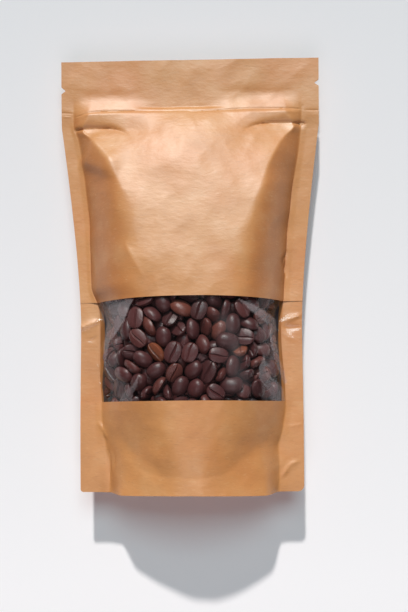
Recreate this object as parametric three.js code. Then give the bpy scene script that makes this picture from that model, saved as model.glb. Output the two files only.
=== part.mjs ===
// A stand-up coffee pouch of brown kraft laminate, filled with roasted beans and lying on its back.
// The frame is in millimetres: +X across the pouch, +Y from its base to its top edge, +Z up from the
// surface it lies on. The origin is under the middle of the pouch.
//
// The front is one sheet in three bands (kraft, clear film, kraft) and the back is one sheet of kraft.
// Front and back are welded along both sides, and these side seals stay flat while the sheets bulge
// apart over the beans. A folded gusset closes the base. "Run" is the distance along the pouch from the
// corners of its base.

import * as THREE from "three";
import { mergeVertices } from "three/addons/utils/BufferGeometryUtils.js";

// ---- Driving dimensions ----------------------------------------------------------------------------

const FLAT_WIDTH = 130; // the pouch at its top, where it is flat
const LENGTH = 218; // base corners to top edge
const SHEET = 0.6; // modelled thickness of one sheet
const GAP = 0.3; // between sheets that touch

const NARROWS_AT = 184.5; // below this run the filled pouch draws in
const BELLY_WIDTH = 111.4; // to this width
const NARROWS_OVER = 100; // within this length
const NARROWS_EASE = 1.4;

const SIDE_SEAL = 9.5; // width of the side seals
const CORNER_SEAL = 14; // they widen to this at the base
const CORNER_RUN = 35; // over this height, where the gusset is welded in
const SEAL_HEIGHT_BASE = 23.4; // height of the side seals over the ground, at the base
const SEAL_HEIGHT_TOP = 17; // and at the top

const WINDOW_BOTTOM = 45; // lower and upper edge of the clear band
const WINDOW_TOP = 95;

const ZIP_BOTTOM = 191.5; // the raised band over the zip
const ZIP_TOP = 200;
const ZIP_RISE = 1.6;
const ZIP_FRONT_Z = 19; // height of the front's middle at the lower edge of the zip
const ZIP_SHOULDER = 6; // the front lifts off the side seals within this length of the zip

const FRONT_RISE = 27.5; // further rise of the front's middle, from the zip to the belly
const FRONT_RUN = 140; // and the length it takes
const BASE_DROP = 1; // the front's middle comes down again by this at the base

const BACK_DROP = 26; // how far the back would hang below the seals if nothing carried it
const BACK_RUN = 95; // and the length that takes
const GROUND_BLEND = 3; // rounding where the back meets the ground

const NOTCH_AT = 205; // tear notches in both side seals
const NOTCH_DEPTH = 2.5;
const NOTCH_HALF = 1.3;

const GUSSET_DEPTH = 11; // how deep the base is folded in, in the middle
const GUSSET_SIDE_DEPTH = 16; // it is deeper by this at the side seals
const GUSSET_FOLD = 1.6; // 1 is a sharp fold, 2 a round one
const GUSSET_INSET = 5; // the fold stops this far short of the side seals

const BEANS_TOP = 165; // the beans fill the pouch up to here
const BEANS_SPAN = 0.9; // share of the width between the side seals
const BEANS_CLEAR = 1.6; // room between the beans and the sheets
const BEAN_PITCH = 10.5; // length of the bumps on their upper face
const BEAN_BUMP = 0.7;

// ---- The shape of the filled pouch -------------------------------------------------------------------

const clamp01 = (t) => Math.min(1, Math.max(0, t));
const smooth = (t) => clamp01(t) ** 2 * (3 - 2 * clamp01(t));
const quarterWave = (t) => Math.sin((Math.PI / 2) * t);
const mix = (a, b, t) => a + (b - a) * t;

const notch = (run) => NOTCH_DEPTH * Math.max(0, 1 - Math.abs(run - NOTCH_AT) / NOTCH_HALF);
const nearBase = (run) => smooth(1 - run / CORNER_RUN);
const underZip = (run, length) => clamp01((ZIP_BOTTOM - run) / length);

function halfWidth(run) {
  const t = clamp01((NARROWS_AT - run) / NARROWS_OVER);
  return mix(FLAT_WIDTH, BELLY_WIDTH, 1 - (1 - t) ** NARROWS_EASE) / 2;
}

const sealWidth = (run) => mix(SIDE_SEAL, CORNER_SEAL, nearBase(run));
const bulgeHalf = (run) => halfWidth(run) - sealWidth(run);
const sealHeight = (run) => mix(SEAL_HEIGHT_BASE, SEAL_HEIGHT_TOP, clamp01(run / NARROWS_AT));

// How high the front's middle stands over the side seals, and how far the back's would hang under them.
function frontRise(run) {
  const height = ZIP_FRONT_Z + FRONT_RISE * quarterWave(underZip(run, FRONT_RUN)) - BASE_DROP * nearBase(run);
  return (height - sealHeight(run)) * smooth((ZIP_BOTTOM - run) / ZIP_SHOULDER);
}

const backDrop = (run) => BACK_DROP * quarterWave(underZip(run, BACK_RUN));

// The bulge from 1 in the middle (across = 0) to 0 at the side seals (across = 1 or -1). It is boxy with
// round shoulders near the zip, an arch over the belly, and runs out flat into the corners at the base.
function arch(across, run) {
  const s = Math.min(1, Math.abs(across));
  const bow = 1 - s ** mix(2.4, 5, smooth((run - 110) / 70));
  const wave = 0.5 + 0.5 * Math.cos(Math.PI * s);
  return mix(bow, wave, 0.75 * nearBase(run));
}

// The sheets climb over the bulge, so their middle is drawn towards the zip by the length they lose.
function drawnUp(run) {
  const t = underZip(run, FRONT_RUN);
  const slope = (FRONT_RISE * Math.PI) / (2 * FRONT_RUN);
  return (slope ** 2 / 2) * FRONT_RUN * (t / 2 + Math.sin(Math.PI * t) / (2 * Math.PI));
}

function zipBand(run) {
  const t = (run - ZIP_BOTTOM) / (ZIP_TOP - ZIP_BOTTOM);
  return smooth(t * 7 + 0.5) * (1 - smooth(t));
}

// Lifts what would sink into the ground up onto it, with a rounded transition.
function onGround(z) {
  if (z <= -GROUND_BLEND) return 0;
  return z >= GROUND_BLEND ? z : (z + GROUND_BLEND) ** 2 / (4 * GROUND_BLEND);
}

const alongPouch = (across, run) => run - LENGTH / 2 + drawnUp(run) * arch(across, run);

function frontPoint(x, across, run) {
  const inFromEdge = smooth((halfWidth(run) - Math.abs(x)) / SIDE_SEAL - 0.6);
  const z = sealHeight(run) + (SHEET + GAP) / 2 + frontRise(run) * arch(across, run);
  return new THREE.Vector3(x, alongPouch(across, run), z + ZIP_RISE * zipBand(run) * inFromEdge);
}

// The under face of the back, which lies flat on the ground.
function backPoint(x, across, run) {
  const z = sealHeight(run) - (SHEET + GAP) / 2 - SHEET / 2 - backDrop(run) * arch(across, run);
  return new THREE.Vector3(x, alongPouch(across, run), onGround(z));
}

// ---- Geometry helpers ------------------------------------------------------------------------------

const evenly = (from, to, count) => Array.from({ length: count + 1 }, (_, i) => mix(from, to, i / count));

// A box whose vertices are moved onto two grids of points, one for its upper and one for its lower face.
// A grid is a list of rows along +Y, and each row a list of points along +X.
function solidBetween(upper, lower) {
  const rows = upper.length - 1;
  const columns = upper[0].length - 1;
  const box = new THREE.BoxGeometry(columns, rows, 1, columns, rows, 1);
  const position = box.attributes.position;
  for (let i = 0; i < position.count; i++) {
    const row = Math.round(position.getY(i) + rows / 2);
    const column = Math.round(position.getX(i) + columns / 2);
    const point = (position.getZ(i) > 0 ? upper : lower)[row][column];
    position.setXYZ(i, point.x, point.y, point.z);
  }
  box.deleteAttribute("normal");
  box.deleteAttribute("uv");
  const solid = mergeVertices(box);
  solid.computeVertexNormals();
  return solid;
}

// Moves each point of a grid along the grid's own normal.
function offsetGrid(grid, distance) {
  const lastRow = grid.length - 1;
  const lastColumn = grid[0].length - 1;
  return grid.map((row, r) =>
    row.map((point, c) => {
      const alongX = row[Math.min(c + 1, lastColumn)].clone().sub(row[Math.max(c - 1, 0)]);
      const alongY = grid[Math.min(r + 1, lastRow)][c].clone().sub(grid[Math.max(r - 1, 0)][c]);
      return point.clone().addScaledVector(alongX.cross(alongY).normalize(), distance);
    }),
  );
}

// A grid over the whole width of a sheet. The outermost cell on each side is the flat side seal, and the
// cells between get narrower towards it.
function sheetGrid(point, runs) {
  const edge = 1 - 2 / CELLS;
  return runs.map((run) => {
    const outer = halfWidth(run) - notch(run);
    return evenly(-1, 1, CELLS).map((u) => {
      if (Math.abs(u) > edge + 1e-6) return point(Math.sign(u) * outer, 1, run);
      const across = quarterWave(u / edge);
      return point(across * bulgeHalf(run), across, run);
    });
  });
}

// ---- The pieces ------------------------------------------------------------------------------------

const CELLS = 20; // across a sheet, the two side seals included
const NOTCH_RUNS = [NOTCH_AT - NOTCH_HALF, NOTCH_AT, NOTCH_AT + NOTCH_HALF];
const ZIP_RUNS = [ZIP_BOTTOM - 4, ZIP_BOTTOM - 0.6, ZIP_BOTTOM + 0.6, (ZIP_BOTTOM + ZIP_TOP) / 2, ZIP_TOP];

function frontBand(runs) {
  const grid = sheetGrid(frontPoint, runs);
  return solidBetween(offsetGrid(grid, SHEET / 2), offsetGrid(grid, -SHEET / 2));
}

const kraftAboveWindow = () =>
  frontBand([...evenly(WINDOW_TOP + GAP / 2, NARROWS_AT, 14), ...ZIP_RUNS, ...NOTCH_RUNS, LENGTH]);
const clearBand = () => frontBand(evenly(WINDOW_BOTTOM + GAP / 2, WINDOW_TOP - GAP / 2, 7));
const kraftBelowWindow = () => frontBand(evenly(0, WINDOW_BOTTOM - GAP / 2, 8));

function kraftBack() {
  const runs = [...evenly(0, NARROWS_AT, 22), ZIP_BOTTOM, ZIP_TOP, ...NOTCH_RUNS, LENGTH];
  const grid = sheetGrid(backPoint, runs);
  return solidBetween(offsetGrid(grid, SHEET), grid);
}

// One sheet, folded in between the lower edges of the front and the back.
function foldedGusset() {
  const reach = 1 - GUSSET_INSET / bulgeHalf(0);
  const grid = evenly(-1, 1, 14).map((w) =>
    evenly(-1, 1, 16).map((u) => {
      const across = quarterWave(u) * reach;
      const x = across * bulgeHalf(0);
      const top = frontPoint(x, across, 0);
      const bottom = backPoint(x, across, 0);
      const halfHeight = (top.z - bottom.z) / 2 - SHEET - 4 * GAP;
      const depth = (GUSSET_DEPTH + GUSSET_SIDE_DEPTH * across ** 2) * (1 - Math.abs(w) ** GUSSET_FOLD);
      return new THREE.Vector3(x, top.y + depth, (top.z + bottom.z) / 2 + w * halfHeight);
    }),
  );
  return solidBetween(grid, offsetGrid(grid, -SHEET));
}

// One solid that fills the pouch between gusset, front and back, with a bumpy face under the film.
function beanFilling() {
  const start = (across) => GUSSET_DEPTH + GUSSET_SIDE_DEPTH * across ** 2 + 2 * BEANS_CLEAR + SHEET;
  const face = (point, clear, bump) =>
    evenly(0, 1, 30).map((t) =>
      evenly(-BEANS_SPAN, BEANS_SPAN, 20).map((across) => {
        const run = mix(start(across), BEANS_TOP, t);
        const onSheet = point(across * bulgeHalf(run), across, run);
        const wave = (mm) => Math.cos((2 * Math.PI * mm) / BEAN_PITCH);
        const bumps = wave(onSheet.x) * wave(run);
        return onSheet.setZ(onSheet.z + clear + bump * (bumps - 1));
      }),
    );
  return solidBetween(face(frontPoint, -BEANS_CLEAR, BEAN_BUMP), face(backPoint, BEANS_CLEAR + SHEET, 0));
}

// ---- Materials and assembly --------------------------------------------------------------------------

const kraft = new THREE.MeshStandardMaterial({ color: 0xcfa27a, roughness: 0.62, metalness: 0 });
const roast = new THREE.MeshStandardMaterial({ color: 0x462d30, roughness: 0.45, metalness: 0 });
const film = new THREE.MeshStandardMaterial({
  color: 0xe9e9ea,
  roughness: 0.08,
  metalness: 0,
  transparent: true,
  opacity: 0.25,
});

const pieces = [
  ["front_panel_upper", kraftAboveWindow, kraft],
  ["window_film", clearBand, film],
  ["front_panel_lower", kraftBelowWindow, kraft],
  ["back_panel", kraftBack, kraft],
  ["base_gusset", foldedGusset, kraft],
  ["coffee_beans", beanFilling, roast],
];

const pouch = new THREE.Group();
for (const [name, makeGeometry, material] of pieces) {
  const mesh = new THREE.Mesh(makeGeometry(), material);
  mesh.name = name;
  pouch.add(mesh);
}

export default pouch;
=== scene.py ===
"""Kraft coffee pouch with a clear window band, filled with roasted beans and lying on its back."""

import math
import random

import bpy
import numpy as np
from bpy.props import FloatProperty, FloatVectorProperty, IntProperty, PointerProperty
from mathutils import Matrix, Vector


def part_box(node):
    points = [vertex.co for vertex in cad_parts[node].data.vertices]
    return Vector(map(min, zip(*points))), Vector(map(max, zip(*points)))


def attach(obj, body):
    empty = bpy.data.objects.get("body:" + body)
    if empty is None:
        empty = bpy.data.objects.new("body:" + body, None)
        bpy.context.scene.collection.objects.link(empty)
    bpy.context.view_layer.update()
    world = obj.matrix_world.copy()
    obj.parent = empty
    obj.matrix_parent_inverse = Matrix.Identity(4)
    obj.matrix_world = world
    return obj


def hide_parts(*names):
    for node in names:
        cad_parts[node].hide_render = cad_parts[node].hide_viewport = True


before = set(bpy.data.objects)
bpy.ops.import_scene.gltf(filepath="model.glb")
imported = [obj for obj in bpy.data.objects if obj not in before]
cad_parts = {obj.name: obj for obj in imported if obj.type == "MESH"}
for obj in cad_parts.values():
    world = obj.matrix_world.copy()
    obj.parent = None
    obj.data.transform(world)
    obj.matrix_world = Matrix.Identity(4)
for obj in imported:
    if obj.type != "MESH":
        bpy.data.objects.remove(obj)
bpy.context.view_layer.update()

bl_info = {
    "name": "Coffee Pouch",
    "version": (1, 0, 0),
    "blender": (4, 5, 0),
    "location": "3D View > Sidebar > Pouch",
    "description": "Models a filled stand-up coffee pouch with a clear window",
    "category": "Add Mesh",
}

MM = 0.001
BACK_LOW, BACK_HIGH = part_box("back_panel")


# ---- Numbers ---------------------------------------------------------------------------------------


def linear(hex_colour):
    """An sRGB hex colour as linear red, green, blue and alpha."""
    values = [int(hex_colour[i : i + 2], 16) / 255 for i in (1, 3, 5)]
    return [v / 12.92 if v <= 0.04045 else ((v + 0.055) / 1.055) ** 2.4 for v in values] + [1.0]


def mix(a, b, t):
    """Between a, at t = 0, and b, at t = 1."""
    return a + (b - a) * t


def clamp01(t):
    """t, kept between 0 and 1."""
    return np.clip(t, 0.0, 1.0)


def smooth(t):
    """From 0 to 1 as t does, level at both ends."""
    t = clamp01(t)
    return t * t * (3 - 2 * t)


def waves(x, y, length, seed, count=7):
    """Smooth random relief between about -1 and 1, of the given wave length in mm."""
    rng = np.random.default_rng(seed)
    total = np.zeros_like(x)
    for _ in range(count):
        angle, phase = rng.uniform(0, math.tau, 2)
        k = math.tau / (length * rng.uniform(0.7, 1.4))
        total += np.sin(k * (x * math.cos(angle) + y * math.sin(angle)) + phase)
    return total / math.sqrt(count)


def along_path(x, y, path):
    """For each point, the share of the path's length at which it lies, and its distance from the path in
    mm, positive on the left of the path's direction."""
    best = np.full_like(x, 1e9)
    share = np.zeros_like(x)
    side = np.ones_like(x)
    lengths = [math.dist(a, b) for a, b in zip(path, path[1:])]
    done = 0.0
    for (ax, ay), (bx, by), length in zip(path, path[1:], lengths):
        dx, dy = (bx - ax) / length, (by - ay) / length
        t = np.clip((x - ax) * dx + (y - ay) * dy, 0, length)
        gap = np.hypot(x - ax - t * dx, y - ay - t * dy)
        left = np.sign(dx * (y - ay) - dy * (x - ax))
        nearer = gap < best
        best = np.where(nearer, gap, best)
        share = np.where(nearer, (done + t) / sum(lengths), share)
        side = np.where(nearer, np.where(left == 0, 1, left), side)
        done += length
    return share, best * side


def rounded(path, pieces=5):
    """The path as a smooth curve through its points."""
    points = np.array([path[0], *path, path[-1]], dtype=float)
    t = np.linspace(0, 1, pieces, endpoint=False)[:, None]
    curves = []
    for a, b, c, d in zip(points, points[1:], points[2:], points[3:]):
        square, cube = a - 2.5 * b + 2 * c - d / 2, 1.5 * (b - c) + (d - a) / 2
        curves.append(b + (c - a) * t / 2 + square * t**2 + cube * t**3)
    return [tuple(point) for point in np.concatenate(curves)] + [tuple(path[-1])]


# A sharp fold's width at its tips, and how much longer it narrows than fades
POINTED, POINT_LENGTH = 0.2, 3


def fold(x, y, path, height, left, right, ends, power=1):
    """A ridge (or valley, with a negative height) along a path, sharp with power 1 and soft with power 2.
    It fades over left and right mm on its two sides, and over the given shares of its length at its
    ends, where a sharp one narrows too."""
    share, gap = along_path(x, y, rounded(path))
    fade = taper = 1.0
    for end, way in zip(ends, (share, 1 - share)):
        if end:
            fade = fade * smooth(way / end)
            if power == 1:
                taper = taper * mix(POINTED, 1.0, smooth(way / min(1.0, POINT_LENGTH * end)))
    width = np.where(gap > 0, left, right) * taper
    return height * fade * np.exp(-((np.abs(gap) / width) ** power))


# ---- The shape of the filled pouch, in millimetres -------------------------------------------------


def curve(t, points):
    """A smooth line through (t, value) points, level beyond both ends."""
    at, values = np.array(points, dtype=float).T
    steps = np.diff(values) / np.diff(at)
    slopes = np.zeros(len(at))
    both = steps[1:] * steps[:-1] > 0
    slopes[1:-1] = np.where(both, 2 * steps[1:] * steps[:-1] / (steps[1:] + steps[:-1] + ~both), 0.0)
    t = np.clip(t, at[0], at[-1])
    i = np.clip(np.searchsorted(at, t, side="right") - 1, 0, len(at) - 2)
    gap = at[i + 1] - at[i]
    u = (t - at[i]) / gap
    rise = values[i + 1] - values[i]
    bend = slopes[i] * gap * u * (1 - u) ** 2 - slopes[i + 1] * gap * u**2 * (1 - u)
    return values[i] + rise * u**2 * (3 - 2 * u) + bend


class PouchShape:
    """The sheets of the filled pouch as functions of the place across it and the run along it, from the
    base. Each table is of (run, value), and -1 and 1 are its left and its right side."""

    # Height of the side seals over the table
    SEAL_HEIGHTS = ((0, 23.4), (35, 22.6), (85, 18.2), (125, 16.4), (184, 16.8), (202, 16.8))
    # The filling makes the pouch narrower: from this run down, over this length, and how soon
    NARROWS_AT, NARROWS_OVER, NARROWS_EASE = 184.5, 100.0, 1.4
    # Across the pouch its bow is flat-topped, and more so towards the zip. The base makes it a plain wave.
    ARCH_BELLY, ARCH_ZIP, ARCH_FROM, ARCH_OVER = 2.4, 5.0, 110.0, 70.0
    CORNER_RUN, CORNER_WAVE = 35.0, 0.75
    # The runs below the zip over which the front and the back bulge out, how far the back would hang below
    # the seals, and how softly it meets the table
    FRONT_RUN, BACK_RUN, BACK_DROP, GROUND_BLEND = 140.0, 95.0, 26.0, 3.0
    # Where the tear notches are, and the radius of each corner of the base
    NOTCHES, NOTCH_DEPTH, NOTCH_HALF = {-1: 203.4, 1: 205.4}, 2.4, 1.6
    BASE_CORNERS = {-1: 1.4, 1: 3.2}
    # The seals are thinner than two loose sheets: by this share, which takes a third of their width and this
    # run below the zip
    SEAL_PRESS, PRESS_WITHIN, PRESS_RUN = 0.8, 3, 9.0
    # How far the pouch lies out of square
    SHEAR, SHRINK, TURN, TWIST = 0.0083, 0.9945, -0.0039, 0.000072
    # Columns of the grid are spread evenly, but for this share that crowds them to the flanks
    CROWDED = 0.25
    # How much wider than the plain side seal the seal looks: the filling pushes the paper over it
    SEALS = {
        -1: ((0, 5.5), (9, 5.2), (18, 4.2), (26, 3.2), (34, 1.8), (45, 1.2), (59, 0.2), (85, 0.2), (95, -0.6),
             (103, -3.0), (122, -2.2), (135, -1.4), (157, -1.0), (178, -1.6), (184, -3.0), (192, -3.4)),
        1: ((0, 3.4), (12, 3.2), (22, 3.4), (31, 1.4), (45, -0.6), (53, -0.6), (65, 0.4), (80, 1.0),
            (97, 0.3), (111, 0.4), (136, 0.6), (157, 0.4), (174, -0.5), (192, -0.5)),
    }
    # Height of the front along its middle, with its ramp down to the flap
    ZIP_RAMP = ((192, 19.7), (194, 18.85), (196, 18.1), (198, 17.5), (200, 17.2), (202, 17.1))
    CROWN = ((0, 46.6), (30, 46.9), (60, 46.9), (80, 45.9), (95, 44.6), (110, 42.9), (130, 39.6), (150, 35.3),
             (166, 31.5), (176, 28.1), (184, 24.3), (190, 20.8), *ZIP_RAMP)
    # The same near the side seals, where the seals hold the front down for longer, and where that begins
    # and is full, in mm from the middle
    CORNER = ((110, 42.7), (130, 39.0), (150, 34.3), (162, 30.0), (172, 25.2), (178, 22.2), (182, 20.8),
              (186, 20.7), (190, 20.6), *ZIP_RAMP)
    CORNER_FROM, CORNER_FULL = 2.0, 50.0
    # The ramp to the zip is pressed in by this share: at its middle, half its width, and how far above the
    # zip's lower edge and over what run that ends
    DENT, DENT_MIDDLE, DENT_HALF, DENT_ABOVE, DENT_OVER = 0.95, -5.0, 19.0, 2.8, 2.2
    # How far in from each side seal the flank climbs to the crown, and how round it is (1 is straight)
    FLANK = {
        -1: ((0, 38), (30, 38), (60, 36), (104, 35), (120, 33), (133, 28.5), (148, 20.5), (156, 17),
             (162, 15.5), (173, 9.5), (178, 6), (181.5, 3.6), (184, 4.5), (190, 8), (200, 9)),
        1: ((0, 40), (30, 38), (60, 34), (104, 34), (120, 30), (133, 24), (148, 17.5), (162, 14),
            (173, 10.5), (178, 7.5), (182.6, 3.6), (185, 4.5), (190, 8), (200, 9)),
    }
    ROUND = {
        -1: ((0, 1.6), (30, 2.0), (60, 2.6), (104, 2.9), (133, 2.6), (148, 1.7), (156, 1.3), (171, 1.15),
             (192, 1.2)),
        1: ((0, 1.8), (30, 2.1), (60, 2.6), (104, 2.7), (133, 2.3), (148, 1.8), (162, 1.35), (171, 1.2),
            (192, 1.2)),
    }
    # The film's own seals, which its folds pull in and out
    FILM_SEALS = {
        -1: ((42, 1.4), (46, 1.6), (52, 1.2), (58, 0.2), (66, -0.8), (72, 0.0), (78, 2.0), (84, 2.6),
             (90, 1.4), (98, -1.4)),
        1: ((42, 0.0), (46, -0.6), (52, -0.8), (60, 0.2), (70, 1.4), (79, 2.6), (84, 3.2), (90, 2.8),
            (94, 1.2), (98, 0.3)),
    }
    # The film gives more than the paper: between its edges its flanks are this much steeper and rounder
    FILM_GIVES = ((45, 0.0), (50, 0.35), (58, 1.0), (82, 1.0), (90, 0.35), (95, 0.0))
    FILM_STEEPER, FILM_ROUNDER = 0.24, 0.5

    def __init__(self, sizes):
        for name in sizes.__annotations__:
            setattr(self, name, getattr(sizes, name) / MM)

    def half_width(self, run):
        """From the middle to the outer edge of a side seal."""
        t = clamp01((self.NARROWS_AT - run) / self.NARROWS_OVER)
        return mix(self.flat_width, self.belly_width, 1 - (1 - t) ** self.NARROWS_EASE) / 2

    def under_zip(self, run, length):
        """0 above the zip and 1 from the given length below it."""
        return clamp01((self.zip_bottom - run) / length)

    def bulge_half(self, run, side, film=False):
        """From the middle to the inner edge of a side seal."""
        seals = self.FILM_SEALS if film else self.SEALS
        return self.half_width(run) - self.side_seal - curve(run, seals[side])

    def seal_height(self, run):
        """Height of the side seals over the table."""
        return curve(run, self.SEAL_HEIGHTS)

    def arch(self, across, run):
        """How much of the bow along the pouch a place across it takes: 1 in the middle, 0 at the seals."""
        s = np.minimum(1, np.abs(across))
        bow = 1 - s ** mix(self.ARCH_BELLY, self.ARCH_ZIP, smooth((run - self.ARCH_FROM) / self.ARCH_OVER))
        wave = 0.5 + 0.5 * np.cos(math.pi * s)
        return mix(bow, wave, self.CORNER_WAVE * smooth(1 - run / self.CORNER_RUN))

    def drawn_up(self, run):
        """How far the climb to the belly draws the front's middle up towards the zip."""
        t = self.under_zip(run, self.FRONT_RUN)
        slope = self.front_rise * math.pi / (2 * self.FRONT_RUN)
        return slope**2 / 2 * self.FRONT_RUN * (t / 2 + np.sin(math.pi * t) / (2 * math.pi))

    def crown(self, x, run):
        """Height of the top of the front, without its flanks."""
        aside = smooth((np.abs(x) - self.CORNER_FROM) / (self.CORNER_FULL - self.CORNER_FROM))
        return mix(curve(run, self.CROWN), curve(run, self.CORNER), aside)

    def zip_dent(self, x, run):
        """The ramp to the zip's lower edge is pressed in at the middle, where it climbs only at the edge."""
        middle = np.exp(-(((x - self.DENT_MIDDLE) / self.DENT_HALF) ** 4))
        ramp = curve(run, self.CROWN) - self.CROWN[-1][1]
        above_zip = 1 - smooth((self.zip_bottom + self.DENT_ABOVE - run) / self.DENT_OVER)
        return self.DENT * middle * ramp * above_zip

    def on_ground(self, z):
        """Presses what would hang below the table flat onto it."""
        b = self.GROUND_BLEND
        return np.where(z <= -b, 0, np.where(z >= b, z, (z + b) ** 2 / (4 * b)))

    def columns(self, run, seal_cells, cells, film=False):
        """x, the share across and the share of the way out over a seal (0 on the bulge), along one row."""
        out = np.linspace(0, 1, seal_cells + 1)[1:]
        middle = np.linspace(-1, 1, cells + 1)
        middle = middle * (1 - self.CROWDED) + np.sin(middle * math.pi / 2) * self.CROWDED
        rows = []
        for side in (-1, 1):
            notch = self.NOTCH_DEPTH * np.maximum(0, 1 - np.abs(run - self.NOTCHES[side]) / self.NOTCH_HALF)
            radius = self.BASE_CORNERS[side]
            corner = radius * (1 - np.sqrt(1 - clamp01(1 - run / radius) ** 2))
            outer = self.half_width(run) - notch - corner
            rows.append(side * mix(self.bulge_half(run, side, film), outer, out[:, None]))
        left, right = rows
        inner = [self.bulge_half(run, side, film) for side in (-1, 1)]
        bulge = np.where(middle[:, None] < 0, *inner) * middle[:, None]
        x = np.concatenate([left[::-1], bulge, right]).T
        across = np.concatenate([-np.ones(seal_cells), middle, np.ones(seal_cells)])
        over = np.concatenate([out[::-1], np.zeros(cells + 1), out])
        return x, np.broadcast_to(across, x.shape), np.broadcast_to(over, x.shape)

    def along(self, across, run):
        """y of a place on a sheet."""
        return run - self.length / 2 + self.drawn_up(run) * self.arch(across, run)

    def front_height(self, x, run, film):
        """Height of the front over the side seals: rounded flanks that climb to a broad crown."""
        height = self.crown(x, run) - self.seal_height(run) - self.zip_dent(x, run)
        for side in (-1, 1):
            gives = curve(run, self.FILM_GIVES) if film else 0.0
            reach = curve(run, self.FLANK[side]) * (1 - self.FILM_STEEPER * gives)
            roundness = curve(run, self.ROUND[side]) + self.FILM_ROUNDER * gives
            inward = clamp01((self.bulge_half(run, side, film) - side * x) / reach)
            height = height * (1 - (1 - inward) ** roundness)
        return height

    def settled(self, x, y, z):
        """Points of a pouch that lies a touch out of square."""
        skewed = self.SHRINK * y + x * (self.TURN + self.TWIST * y)
        return np.stack([x + self.SHEAR * y, skewed, z], axis=-1)

    def front(self, x, across, over, run, lift=0.0, film=False):
        """Points of the front, with its middle surface lifted off the seals' middle."""
        in_seal = clamp01(self.PRESS_WITHIN * over) * smooth(self.under_zip(run, self.PRESS_RUN))
        z = self.seal_height(run) + (self.sheet + lift) * (1 - self.SEAL_PRESS * in_seal)
        z = z + self.front_height(x, run, film) * (over <= 0)
        return self.settled(x, self.along(across, run), z)

    def back(self, x, across, run):
        """Points of the back, which the table presses flat."""
        sag = np.sin(math.pi / 2 * self.under_zip(run, self.BACK_RUN))
        hang = self.BACK_DROP * sag * self.arch(across, run)
        z = self.on_ground(self.seal_height(run) - self.sheet - hang)
        return self.settled(x, self.along(across, run), z + self.sheet / 2)


def grid_normals(points):
    """Upward unit normals of a grid of points."""
    across = np.gradient(points, axis=1)
    along = np.gradient(points, axis=0)
    normals = np.cross(across, along)
    return normals / np.maximum(np.linalg.norm(normals, axis=-1, keepdims=True), 1e-9)


# ---- Surfaces with their folds ---------------------------------------------------------------------

SEAL_CELLS, BULGE_CELLS, FILM_CELLS = 14, 130, 200
# How far the sheets' rows are apart: at the base's round corners, over the paper, the zip with a stretch
# below and above it, the film and the back
BASE_RUN, BASE_STEP = 4, 0.25
PAPER_STEP, ZIP_STEP, FILM_STEP, BACK_STEP = 0.7, 0.3, 0.5, 0.85
BELOW_ZIP, ABOVE_ZIP = 3, 1
EDGE_EASE = 2.0  # the window's folds fade over this many mm at its edges
# (height, wave length) of the paper's waves and creases, and how much of a crease is its sharp edge
SOFT_WAVES, CREASES, CREASE_EDGE = ((0.22, 34), (0.05, 11)), ((0.15, 26), (0.05, 13)), 0.6
FILM_HEIGHT, FILM_WAVE = 0.12, 22
# The seals take this share off the relief of the paper and of the film
PAPER_CALM, FILM_CALM = 0.75, 0.8
UPPER_SEED, LOWER_SEED, FILM_SEED, VEIL_SEED = 3, 13, 23, 31

# Each fold is (path in x and y, height, how far it fades to the left and right of the path, share faded
# at each end), with a 2 at the end if it is soft. A negative height is a valley.
UPPER_FOLDS = [
    # Pinched corners below the zip
    (((-58.5, 73.3), (-52.0, 73.9), (-44.0, 73.9), (-37.0, 73.2), (-31.5, 70.5), (-28.5, 66.5)),
     -2.0, 2.1, 4.0, (0.1, 0.55)),
    (((25.0, 69.0), (30.0, 73.0), (37.0, 75.3), (46.0, 75.6), (54.0, 75.6), (60.0, 75.6)),
     -2.0, 2.1, 4.0, (0.55, 0.1)),
    # Folds down the flanks
    (((-55.5, 60.0), (-44.1, 54.5), (-33.0, 48.5)), 2.2, 9.0, 4.2, (0.25, 0.4), 2),
    (((-32.2, 17.0), (-27.1, 6.9), (-20.5, -5.0)), 0.5, 5.0, 7.0, (0.3, 0.4)),
    (((49.8, 12.5), (47.2, 8.9), (45.9, 5.7), (46.9, 2.1), (48.3, -4.5)), -0.8, 2.2, 1.2, (0.3, 0.3)),
    # Lower edge of the zip
    (((-57.5, 79.9), (-52.0, 81.4), (-44.9, 82.5), (-19.0, 82.5), (-0.9, 82.4), (1.1, 81.9), (15.7, 82.4),
      (30.6, 83.2), (57.0, 82.8)), -0.42, 0.45, 0.9, (0.02, 0.02)),
    (((-65.0, 82.6), (-57.6, 82.2)), -0.25, 0.4, 0.7, (0.0, 0.3)),
    (((-64.0, 80.6), (-58.5, 80.2)), 0.18, 0.4, 0.7, (0.3, 0.3)),
    (((57.5, 82.3), (65.0, 82.2)), -0.3, 0.4, 0.7, (0.3, 0.0)),
    (((57.2, 85.6), (57.0, 80.8)), -0.3, 0.5, 0.5, (0.3, 0.3)),
    # Dips in the flap along the zip
    (((-58.0, 90.8), (-46.0, 90.3), (-27.0, 91.2)), -0.38, 3.0, 4.5, (0.25, 0.4), 2),
    (((12.0, 91.9), (30.0, 91.6), (44.0, 91.2), (57.0, 91.9)), -0.55, 3.0, 4.5, (0.4, 0.2), 2),
    (((-1.1, 79.6), (2.1, 74.7), (3.0, 69.0)), 0.3, 1.6, 1.6, (0.4, 0.5)),
]
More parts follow.
